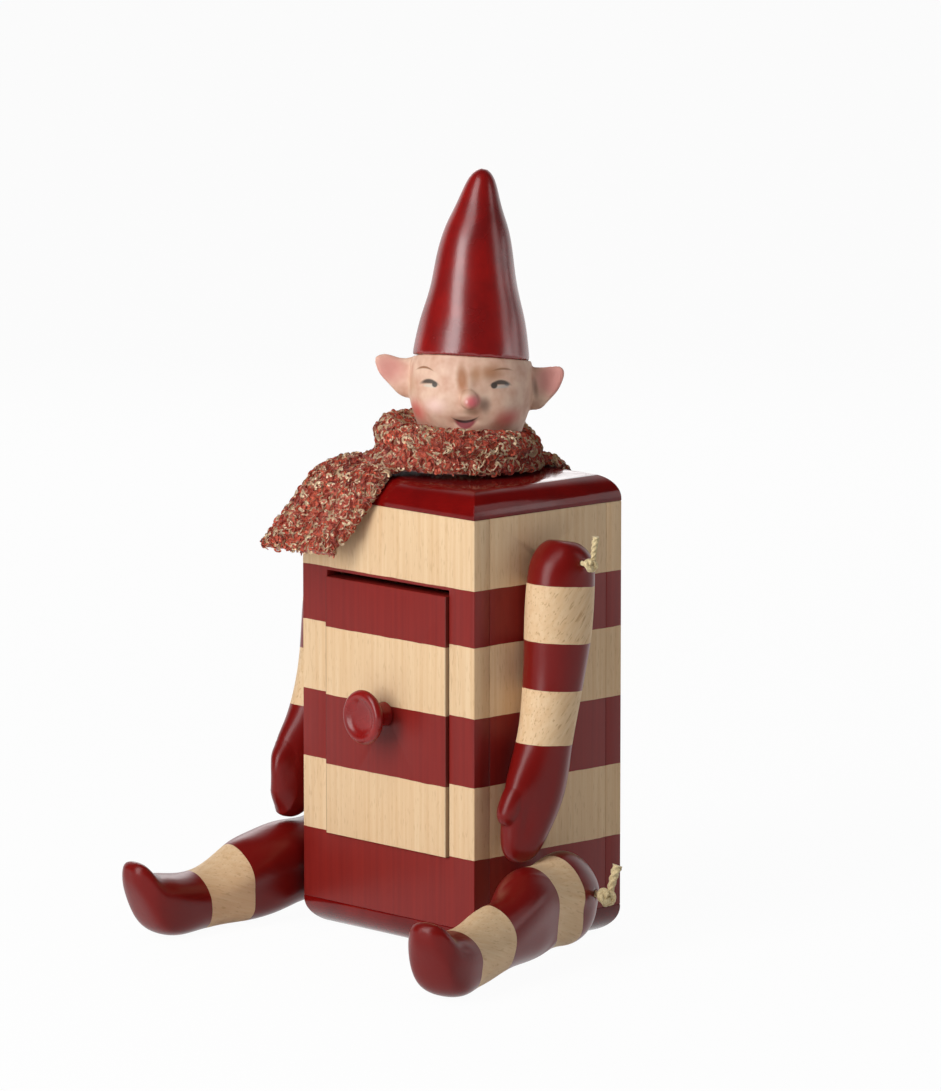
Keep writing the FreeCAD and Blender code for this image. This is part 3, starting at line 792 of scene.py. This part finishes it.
def brush(tree, face, under, centre, size, colour, soft, bend=0.0, tilt=0.0, full=1.0):
    """Lays one oval stroke over a colour; size is half its width and height in mm."""
    across, height = centre
    depth = -math.sqrt(max(FACE_RADIUS**2 - across**2, LEAST_DEPTH**2))
    turn = Matrix.Rotation(math.radians(tilt), 3, "Y")
    scale = Vector((1.0 / size[0], 1.0 / STROKE_DEPTH, 1.0 / size[1])) / MM
    moved = add_node(
        tree,
        "Mapping",
        {
            "Vector": face,
            "Location": -(turn @ (Vector((across, depth, height)) * MM)),
            "Rotation": tuple(turn.to_euler()),
        },
    )
    unit = add_node(tree, "Mapping", {"Vector": moved.outputs[0], "Scale": scale})
    spot = unit.outputs[0]
    if bend:
        x, y, z = add_node(tree, "SeparateXYZ", {0: spot}).outputs
        square = worked_out(tree, "MULTIPLY", x, x)
        lifted = worked_out(tree, "MULTIPLY_ADD", square, bend, z)
        spot = add_node(tree, "CombineXYZ", {0: x, 1: y, 2: lifted}).outputs[0]
    reach = add_node(tree, "VectorMath", {0: spot}, operation="LENGTH").outputs["Value"]
    shown = add_node(
        tree,
        "MapRange",
        {"Value": reach, "From Min": 1.0, "From Max": 1.0 - soft, "To Max": full},
        interpolation_type="SMOOTHSTEP",
    )
    return laid_over(tree, shown.outputs[0], under, linear(colour))


print("strokes reach", STROKE_DEPTH, "mm into the head")

# %% [markdown]
# ## Strokes of the face
# Each line gives a stroke's middle, its half width and height, its colour, how soft it is,
# its bend, its tilt and its strength. Broad tints come first and fine lines last, in the
# order in which a painter would lay them, because each stroke covers those before it. Some
# strokes are painted light: painted highlights on the left cheek and the nose tip, painted
# shade at the ears' roots, and a painted shadow beside and under the nose.

# %% Face strokes
FACE_STROKES = (
    ((-21.5, 209.0), (10.5, 7.5), "D4655C", 1.0, 0.0, 0.0, 0.9),
    ((15.0, 207.0), (10.5, 7.0), "C25A52", 1.0, 0.0, 0.0, 0.9),
    # painted highlight on the left cheek
    ((-14.0, 212.5), (7.0, 5.0), "F0CDC2", 1.0, 0.0, 0.0, 0.75),
    ((-33.0, 224.5), (11.0, 10.5), "DA938A", 0.55, 0.0, -25.0, 0.9),
    ((33.0, 220.5), (10.0, 10.5), "D08A82", 0.5, 0.0, 25.0, 0.9),
    # painted shade in the crease at the right ear's root
    ((25.5, 217.5), (1.8, 6.5), "6E4A3A", 0.9, 0.0, 8.0, 0.7),
    ((8.0, 226.0), (7.5, 5.0), "A86F48", 0.9, 0.0, 0.0, 0.85),
    ((-3.4, 223.5), (3.2, 8.4), "9C6034", 0.75, 0.0, 4.0, 0.95),
    ((1.8, 225.5), (3.4, 4.8), "AE7850", 0.9, 0.0, 0.0, 0.7),
    # painted shade, lighter, at the left ear's root
    ((-23.0, 219.0), (3.5, 7.0), "C08A62", 1.0, 0.0, 0.0, 0.5),
    # painted shadow that the nose casts to its right
    ((5.8, 213.2), (3.4, 5.0), "86695A", 0.9, 0.0, 0.0, 0.8),
    # painted shade under the nose
    ((0.0, 210.6), (5.5, 2.4), "9C755C", 1.0, 0.0, 0.0, 0.75),
    ((0.4, 215.2), (4.2, 3.8), "D4626A", 0.55, 0.0, 0.0, 0.95),
    # painted highlight on the nose tip
    ((-1.6, 215.3), (0.9, 1.3), "F6DAD2", 0.9, 0.0, 0.0, 0.9),
    ((-18.2, 227.2), (4.6, 0.6), "8A5A38", 0.6, 3.8, 4.0, 0.9),
    ((12.5, 227.2), (5.4, 0.6), "8E6040", 0.7, 2.2, -3.0, 0.85),
    ((-16.2, 220.3), (3.4, 0.9), "D2C4B4", 0.6, 0.8, 0.0, 0.9),
    ((11.9, 220.3), (4.0, 0.9), "C2B8AE", 0.6, 0.8, 0.0, 0.9),
    ((-14.2, 220.9), (1.35, 1.35), "3A352F", 0.45, 0.0, 0.0, 0.95),
    ((9.2, 220.9), (1.6, 1.5), "26231F", 0.4, 0.0, 0.0, 0.95),
    ((14.2, 221.0), (1.5, 1.0), "6E6F78", 0.7, 0.0, -20.0, 0.8),
    ((-16.3, 222.0), (4.8, 1.2), "40362E", 0.6, 1.6, 2.0, 0.95),
    ((11.8, 222.0), (5.2, 1.25), "3A3029", 0.6, 1.4, -3.0, 0.95),
    ((-2.2, 203.6), (4.0, 1.4), "C8746A", 0.7, -0.8, 0.0, 0.8),
    ((-2.2, 205.2), (5.4, 1.9), "8A2A36", 0.4, -1.3, 0.0, 0.95),
    ((-2.2, 206.3), (6.4, 0.75), "2E0E0D", 0.5, -3.9, 2.0, 0.95),
)
print("the face has", len(FACE_STROKES), "strokes")

# %% [markdown]
# ## Skin
# Matte peach paint is slightly mottled, because it was dabbed on, and has fine pores from
# the brush. The strokes are mixed over it one by one, so the face needs no picture.

# %% Skin and head
SKIN_MOTTLE = 6.0
SKIN_PORES = 0.8
HEAD_VOXEL = 0.5
HEAD_SANDING = 5
skin_finish, tree, shader, place = new_finish("matte_peach_paint_on_beech")
face = add_node(
    tree,
    "Mapping",
    {
        "Vector": place,
        "Location": into_face.to_translation(),
        "Rotation": tuple(into_face.to_euler()),
    },
).outputs[0]
mottle = grain_noise(tree, place, SKIN_MOTTLE)
skin = two_tones(tree, mottle, (0.35, "E2BFA7"), (0.70, "CC9C84"))
for centre, size, colour, soft, bend, tilt, full in FACE_STROKES:
    skin = brush(tree, face, skin, centre, size, colour, soft, bend, tilt, full)
relief(tree, shader, grain_noise(tree, place, SKIN_PORES), 0.05, 0.4)
set_inputs(tree, shader, {"Base Color": skin, "Roughness": 0.55})

bm = even_copy("head", HEAD_VOXEL, HEAD_SANDING)
carve(bm, into_face, FACE_MARKS)
finish_piece(bm, "painted_head", "head", skin_finish, ("head",), 60.0)

# %% [markdown]
# ## Hat
# The hat is a turned cone whose lacquer shows every dent of the hand sanding, which is why
# its long highlight has wavy edges. Low noise on an even copy gives that wave in the surface
# itself, so that it holds from every side.

# %% Hat
HAT_MARKS = (
    ((0.0, 0.0, 279.0), (40.0, 40.0, 17.0), 1.9),
    ((0.0, 0.0, 276.0), (40.0, 40.0, 22.0), (-1.2, 0.0, 0.0)),
)
HAT_VOXEL = 0.7
HAT_SANDING = 6
HAT_DENTS = (13.0, 0.42, 0.7)
HAT_SEED = 21.0
bm = even_copy("hat", HAT_VOXEL, HAT_SANDING)
carve(bm, into_face, HAT_MARKS)
dent(bm, *HAT_DENTS, HAT_SEED)
finish_piece(bm, "pointed_hat", "head", hat_finish, ("hat",), 60.0)

# %% [markdown]
# ## Scarf
# The scarf is a knitted strip of looped yarn, wound round the neck with two loose ends. The
# ground is a closed cloth that follows the wound form, and a pile of short curls covers it.
# Spun wool is fuzzy and dull. A sheen gives the fuzz at the edges, and two noises give the
# tufts and the fibres.

# %% Yarn finish
TUFT_SIZE = 1.1
WOOL_FIBRE = 0.3


def wool(name, colour, deep):
    """Soft spun yarn: fuzzy and dull, deeper between the tufts, with fine fibres."""
    material, tree, shader, place = new_finish(name)
    tuft = grain_noise(tree, place, TUFT_SIZE, 3.0)
    tone = two_tones(tree, tuft, (0.32, deep), (0.62, colour))
    relief(tree, shader, grain_noise(tree, place, WOOL_FIBRE), 0.15, 0.7)
    set_inputs(tree, shader, {"Base Color": tone, "Roughness": 0.9})
    set_inputs(tree, shader, {"Sheen Weight": 0.4, "Sheen Roughness": 0.5})
    return material


YARNS = (
    ("brick", "EA7456", "C65038", 0.44),
    ("deep", "C84A34", "A03626", 0.14),
    ("pale", "FFE8C8", "EACB9E", 0.42),
)
print("yarns:", [name for name, *_ in YARNS])

# %% [markdown]
# ## The scarf's ground
# The ground takes the wound form from the CAD solid. Soft drags let the hanging end flare
# and the ring lie lower behind the head. It is drawn in a little, so that the curls on top
# fill the same space. Every face that shows becomes a place for one curl, and the faces that
# lie on the cap get none.

# %% Scarf ground
CURL_DEEP = 0.9
SCARF_GRAIN = 1.5
SCARF_SMOOTHING = 3
FACES_DOWN = -0.6
LYING_BELOW = 192.0
SCARF_DRAGS = (
    ((-36.0, -57.0, 152.0), (40.0, 30.0, 22.0), (-7.2, 0.5, -0.8)),
    ((-43.0, -38.0, 191.0), (14.0, 14.0, 6.0), (0.8, 0.8, -2.0)),
    ((24.0, 30.0, 203.0), (18.0, 18.0, 9.5), (-3.6, -3.9, -6.0)),
)
bm = even_copy("scarf", SCARF_GRAIN, SCARF_SMOOTHING)
carve(bm, Matrix.Identity(4), SCARF_DRAGS)
bm.normal_update()
for vert in bm.verts:
    vert.co -= vert.normal * CURL_DEEP * MM
spots = [
    (face.calc_center_median(), face.normal.copy())
    for face in bm.faces
    if not (face.normal.z < FACES_DOWN and face.calc_center_median().z < LYING_BELOW * MM)
]
# The ground is a darker red than the curls: partly its own colour and partly painted shade for
# the gaps between the curls.
ground_finish = wool("knitted_ground", "BE5A44", "923C2C")
scarf = finish_piece(
    bm, "scarf_ground", "box", ground_finish, ("scarf",), 180.0
)
print("room for", len(spots), "yarn curls")

# %% [markdown]
# ## Yarn curls
# The pile is looped yarn. A ring is spun in its own plane into one small flat curl, which
# stands for a loop of yarn and has no thickness. It is set thousands of times, each turned and
# leant by chance, in brick red, deep red and pale yarn. Few faces are enough, because a loop
# is only about three millimetres wide.

# %% Yarn curls
YARN_WIDE = 1.2
CURL_WIDE = 2.0
CURL_ARC = 200.0
CURL_LEAN = 1.3
CURL_SPREAD = 0.5
CURL_WIDTHS = (0.8, 1.3)
CURL_HEIGHTS = (0.5, 0.9)
random.seed(12)

template = bmesh.new()
ring = bmesh.ops.create_circle(template, segments=5, radius=YARN_WIDE / 2 * MM)
bmesh.ops.rotate(
    template,
    verts=ring["verts"],
    cent=(0, 0, 0),
    matrix=Matrix.Rotation(math.radians(90.0), 3, "X"),
)
bmesh.ops.translate(template, verts=ring["verts"], vec=(CURL_WIDE / 2 * MM, 0, 0))
bmesh.ops.spin(
    template,
    geom=template.verts[:] + template.edges[:],
    cent=(0, 0, 0),
    axis=(0, -1, 0),
    angle=math.radians(CURL_ARC),
    steps=5,
)
bmesh.ops.recalc_face_normals(template, faces=template.faces)
curl = bpy.data.meshes.new("yarn_curl")
template.to_mesh(curl)
template.free()
straight = [number for vert in curl.vertices for number in vert.co]

heaps = {name: bmesh.new() for name, *_ in YARNS}
shares = [share for *_, share in YARNS]
names = [name for name, *_ in YARNS]
for centre, normal in spots:
    name = random.choices(names, shares)[0]
    lean = Matrix.Rotation(random.uniform(-CURL_LEAN, CURL_LEAN), 4, "X")
    twist = Matrix.Rotation(random.uniform(0.0, math.tau), 4, "Z")
    wide, high = random.uniform(*CURL_WIDTHS), random.uniform(*CURL_HEIGHTS)
    grow = Matrix.Diagonal((wide, 1.0, high, 1.0))
    stand = normal.to_track_quat("Z", "Y").to_matrix().to_4x4()
    spread = Vector([random.uniform(-CURL_SPREAD, CURL_SPREAD) * MM for _ in range(3)])
    place = Matrix.Translation(centre + spread) @ stand @ twist @ lean @ grow
    curl.vertices.foreach_set("co", straight)
    curl.transform(place)
    heaps[name].from_mesh(curl)

pile = [
    finish_piece(
        heaps[name],
        "scarf_curls_" + name,
        "box",
        wool("looped_yarn_" + name, colour, deep),
        (),
        180.0,
    )
    for name, colour, deep, _ in YARNS
]
bpy.data.meshes.remove(curl)

# %% [markdown]
# ## Cords
# The limbs hang on twisted cotton cord, drawn through the box and knotted outside. A cord is
# three strands laid round each other. Cotton is dull, with short fibres that stand off it,
# so a fine noise colours and roughens it, and a little sheen stands for the fluff.

# %% Cord finish
COTTON_FIBRE = 0.5
cord_finish, tree, shader, place = new_finish("twisted_cotton")
fibre = grain_noise(tree, place, COTTON_FIBRE, 3.0)
tone = two_tones(tree, fibre, (0.30, "C9AF7E"), (0.65, "E6D3A6"))
relief(tree, shader, fibre, 0.12, 0.6)
set_inputs(tree, shader, {"Base Color": tone, "Roughness": 0.85, "Sheen Weight": 0.2})
print("cotton fibres", COTTON_FIBRE, "mm")

# %% [markdown]
# ## Knots
# Three laid strands give a section with three lobes, which turns as the cord runs. A curve
# with that section and a rising tilt gives the lay. The knot is a trefoil left open, which is
# what an overhand knot is, and the cut end flares where the strands come apart.

# %% Cords with overhand knots
STRANDS = 3
LOBE = 0.13
LAY = 3.2
KNOT_SIZE = 0.43
KNOT_STEPS = 13
KNOT_START = 0.55
KNOT_GAP = 1.0
KNOT_TURN = 0.5
HOLE_STEPS = (3.0, 1.4)
TAIL_MIDDLE = 0.6
SECTION_POINTS = 18
END_FLARES = ((0, 1.5), (1, 1.2), (-2, 1.2), (-1, 1.5))


def strand_section(diameter):
    """A closed curve with three lobes, the section of three laid strands."""
    data = bpy.data.curves.new("strands", "CURVE")
    spline = data.splines.new("POLY")
    spline.points.add(SECTION_POINTS - 1)
    for number, point in enumerate(spline.points):
        angle = math.tau * number / SECTION_POINTS
        radius = diameter / 2 * (1.0 - LOBE + LOBE * math.cos(STRANDS * angle)) * MM
        point.co = (radius * math.cos(angle), radius * math.sin(angle), 0.0, 1.0)
    spline.use_cyclic_u = True
    section = bpy.data.objects.new("strands", data)
    bpy.context.collection.objects.link(section)
    return section


def knot_points(centre, sign, tail, diameter):
    """The way of a cord from its hole through an overhand knot to its tail end."""
    unit = diameter * KNOT_SIZE
    points = [Vector((-away * sign * diameter, 0, 0)) for away in HOLE_STEPS]
    for step in range(KNOT_STEPS):
        turn = KNOT_START + (math.tau - KNOT_GAP) * step / (KNOT_STEPS - 1)
        reach = unit * (2.0 + math.cos(3.0 * turn))
        around = 2.0 * turn - KNOT_TURN
        out = sign * unit * math.sin(3.0 * turn)
        points.append(Vector((out, -reach * math.sin(around), reach * math.cos(around))))
    points += [Vector(tail) * TAIL_MIDDLE, Vector(tail)]
    return [centre + point for point in points]


def laid_cord(name, node, diameter, ends):
    """A three-strand cord from one tail to the other, made a mesh."""
    (left, left_tail), (right, right_tail) = ends
    points = knot_points(Vector(left), -1.0, left_tail, diameter)[::-1]
    points += knot_points(Vector(right), 1.0, right_tail, diameter)
    data = bpy.data.curves.new(name, "CURVE")
    data.dimensions = "3D"
    spline = data.splines.new("NURBS")
    spline.points.add(len(points) - 1)
    lay = diameter * LAY
    tilt = 0.0
    before = points[0]
    for point, spot in zip(spline.points, points):
        tilt += (spot - before).length / lay * math.tau
        before = spot
        point.co = (*(spot * MM), 1.0)
        point.tilt = tilt
    for end, flare in END_FLARES:
        spline.points[end].radius = flare
    spline.order_u = 3
    spline.use_endpoint_u = True
    spline.resolution_u = 8
    section = strand_section(diameter)
    data.bevel_mode = "OBJECT"
    data.bevel_object = section
    data.use_fill_caps = True
    path = bpy.data.objects.new(name + "_path", data)
    bpy.context.collection.objects.link(path)
    view = bpy.context.evaluated_depsgraph_get()
    mesh = bpy.data.meshes.new_from_object(path.evaluated_get(view))
    bm = bmesh.new()
    bm.from_mesh(mesh)
    bmesh.ops.remove_doubles(bm, verts=bm.verts, dist=0.005 * MM)
    bmesh.ops.recalc_face_normals(bm, faces=bm.faces)
    for used in (path, section):
        bpy.data.objects.remove(used)
    bpy.data.meshes.remove(mesh)
    return finish_piece(bm, name, "box", cord_finish, (node,), 60.0)


SHOULDER_CORD, HIP_CORD = 2.2, 3.0
SHOULDER_ENDS = (
    ((-80.1, *SHOULDER), (-1.65, 1.1, 11.0)),
    ((80.1, *SHOULDER), (1.65, 1.1, 11.0)),
)
HIP_ENDS = (
    ((-81.0, *HIP), (-1.8, 4.2, 12.0)),
    ((84.24, *HIP), (1.8, 4.2, 12.0)),
)
laid_cord("shoulder_cord", "arm_cord", SHOULDER_CORD, SHOULDER_ENDS)
laid_cord("hip_cord", "leg_cord", HIP_CORD, HIP_ENDS)

# %% [markdown]
# ## Lamps
# A large soft lamp stands in front and a smaller one hangs over it, which together draw the
# long highlight on the hat. Two weaker ones lift the back and the right edge. A white card
# low behind on the right shows only in the gloss, as a reflector does in a studio.

# %% Lamps
LAMP_AIM = Vector((0.0, 0.0, 0.15))


def softbox(name, azimuth, elevation, distance, size, power):
    """A rectangular lamp aimed at the toy; angles in degrees, sizes in metres."""
    data = bpy.data.lights.new(name, "AREA")
    data.shape = "RECTANGLE"
    data.size, data.size_y = size
    data.energy = power
    lamp = bpy.data.objects.new(name, data)
    around, up = math.radians(azimuth), math.radians(elevation)
    lamp.location = LAMP_AIM + distance * Vector(
        (math.sin(around) * math.cos(up), -math.cos(around) * math.cos(up), math.sin(up))
    )
    lamp.rotation_euler = (math.radians(90.0 - elevation), 0.0, around)
    bpy.context.collection.objects.link(lamp)
    return lamp


SOFTBOXES = (
    ("key_softbox", 2.0, 20.0, 1.6, (0.72, 1.4), 20.8),
    ("overhead_softbox", 4.0, 55.0, 1.5, (0.72, 0.7), 4.5),
    ("back_softbox", 232.0, 24.0, 1.6, (0.8, 0.8), 4.5),
    ("rim_softbox", 126.0, 20.0, 1.5, (0.45, 1.1), 2.4),
)
for lamp in SOFTBOXES:
    softbox(*lamp)
card = softbox("white_card", 138.0, 9.0, 1.5, (1.4, 0.5), 3.6)
card.visible_diffuse = False
print(len(SOFTBOXES), "softboxes and a white card")

# %% [markdown]
# ## Floor
# The toy sits on a white table. The floor is plain white, and rays from the camera and from
# the gloss see it brighter, so that it stays white and still keeps a soft shadow.

# %% Floor
FLOOR_HALF = 12.0
FLOOR_DROP = 0.2
FLOOR_WHITE = 0.96
bm = bmesh.new()
bmesh.ops.create_grid(bm, x_segments=1, y_segments=1, size=FLOOR_HALF)
bmesh.ops.translate(bm, verts=bm.verts, vec=(0.0, 0.0, -FLOOR_DROP * MM))
floor_mesh = bpy.data.meshes.new("floor")
bm.to_mesh(floor_mesh)
bm.free()
floor_finish = bpy.data.materials.new("white_table")
floor_finish.use_nodes = True
tree = floor_finish.node_tree
tree.nodes.clear()
dull = add_node(tree, "BsdfDiffuse", {"Color": linear("EDEDED")})
shine = add_node(tree, "Emission", {"Color": WHITE, "Strength": 1.0})
path = add_node(tree, "LightPath")
seen = worked_out(
    tree, "MAXIMUM", path.outputs["Is Camera Ray"], path.outputs["Is Glossy Ray"]
)
seen = worked_out(tree, "MAXIMUM", seen, path.outputs["Is Transmission Ray"])
part = worked_out(tree, "MULTIPLY", seen, FLOOR_WHITE)
both = add_node(
    tree, "MixShader", {0: part, 1: dull.outputs[0], 2: shine.outputs[0]}
)
add_node(tree, "OutputMaterial", {"Surface": both.outputs[0]})
floor_mesh.materials.append(floor_finish)
floor = bpy.data.objects.new("floor", floor_mesh)
bpy.context.collection.objects.link(floor)
print("floor", 2 * FLOOR_HALF, "m wide")

# %% [markdown]
# ## Room
# The room is pale and even. The camera sees it white. Glossy pieces see a white wall behind
# the toy and a dark room elsewhere, which is what gives lacquer its deep colour.

# %% Room
ROOM_LIGHT = 0.15
DARK_SIDE = 0.05
WALL_EDGE = (0.45, 0.75)
world = bpy.data.worlds.new("studio")
world.use_nodes = True
bpy.context.scene.world = world
tree = world.node_tree
tree.nodes.clear()
path = add_node(tree, "LightPath")
way = add_node(tree, "TexCoord").outputs["Generated"]
view_turn = math.radians(CAMERA_AZIMUTH)
behind = Vector((-math.sin(view_turn), math.cos(view_turn), 0.0))
facing = add_node(tree, "VectorMath", {0: way, 1: behind}, operation="DOT_PRODUCT")
wall = add_node(
    tree,
    "MapRange",
    {
        "Value": facing.outputs["Value"],
        "From Min": WALL_EDGE[0],
        "From Max": WALL_EDGE[1],
    },
    interpolation_type="SMOOTHSTEP",
)
bounced = worked_out(
    tree, "MAXIMUM", path.outputs["Is Glossy Ray"], path.outputs["Is Transmission Ray"]
)
mirrored = add_node(
    tree, "MapRange", {"Value": wall.outputs[0], "To Min": DARK_SIDE, "To Max": 1.0}
)
room = add_node(tree, "Mix", {0: bounced, 2: ROOM_LIGHT, 3: mirrored.outputs[0]})
level = worked_out(tree, "MAXIMUM", room.outputs[0], path.outputs["Is Camera Ray"])
sky = add_node(tree, "Background", {"Color": WHITE, "Strength": level})
add_node(tree, "OutputWorld", {"Surface": sky.outputs[0]})
print("room light", ROOM_LIGHT)
